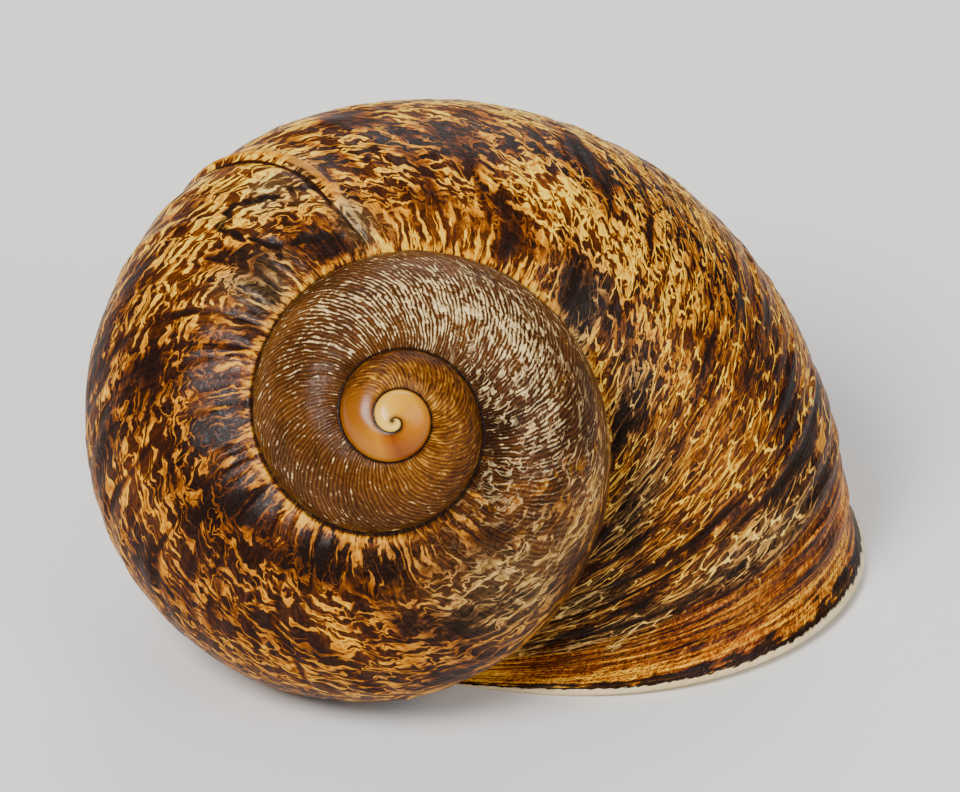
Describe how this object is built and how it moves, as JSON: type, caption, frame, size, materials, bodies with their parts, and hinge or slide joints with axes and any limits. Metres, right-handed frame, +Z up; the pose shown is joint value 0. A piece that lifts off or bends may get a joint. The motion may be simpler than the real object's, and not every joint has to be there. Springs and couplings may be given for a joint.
{
  "type": "land snail shell",
  "caption": "Empty coiled land snail shell with a wide round mouth and a turned-out lip, lying on its mouth.",
  "frame": {"origin": "centre of the shell's footprint, on the surface that the rim of its mouth rests on", "axes": "+Z up, away from the mouth; -Y towards a viewer who looks straight at the spire; +X to that viewer's right, where the lip flares widest"},
  "size_m": [0.034, 0.0256, 0.0201],
  "materials": {
    "shell": "mottled amber and dark brown horn-like shell with cream flecks, fine growth ridges and a soft gloss"
  },
  "bodies": {
    "root": {"shell": "shell"}
  },
  "joints": []
}
